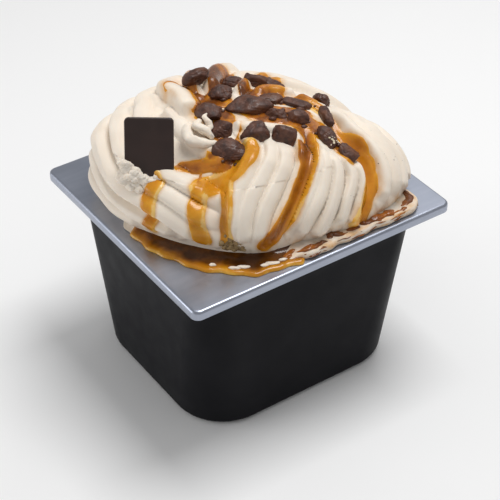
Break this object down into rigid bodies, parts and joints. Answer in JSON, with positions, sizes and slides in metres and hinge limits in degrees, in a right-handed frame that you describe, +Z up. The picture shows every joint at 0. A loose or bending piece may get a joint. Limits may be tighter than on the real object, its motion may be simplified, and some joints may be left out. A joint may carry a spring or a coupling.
{
  "type": "gelato display pan with gelato",
  "caption": "Deep steel and black display pan filled with pale gelato paddled into folds, dripping with caramel sauce, with chocolate biscuit chunks and a plain chocolate tile.",
  "frame": {"origin": "centre of the pan's underside, on the surface it stands on", "axes": "+X along the pan's long side, +Y along its short side, +Z up"},
  "size_m": [0.18, 0.165, 0.19],
  "materials": {
    "pan_metal": "satin steel flange; the tub below has a satin black coat",
    "tub_coat": "satin black coat on the outside of the tub",
    "gelato_cream": "smooth soft gelato, faint uneven gloss",
    "sauce_caramel": "moist caramel sauce, soft gloss",
    "chunk_biscuit": "crumbly chocolate biscuit, slightly glazed with sauce",
    "tile_chocolate": "plain dark chocolate, satin"
  },
  "bodies": {
    "root": {"pan": "pan_metal", "gelato": "gelato_cream", "tile": "tile_chocolate", "chunk_01": "chunk_biscuit", "chunk_02": "chunk_biscuit", "chunk_03": "chunk_biscuit", "chunk_04": "chunk_biscuit", "chunk_05": "chunk_biscuit", "chunk_06": "chunk_biscuit", "chunk_07": "chunk_biscuit", "chunk_08": "chunk_biscuit", "chunk_09": "chunk_biscuit", "chunk_10": "chunk_biscuit", "chunk_11": "chunk_biscuit", "chunk_12": "chunk_biscuit", "chunk_13": "chunk_biscuit", "chunk_14": "chunk_biscuit", "chunk_15": "chunk_biscuit", "chunk_16": "chunk_biscuit", "chunk_17": "chunk_biscuit", "chunk_18": "chunk_biscuit"}
  },
  "joints": []
}
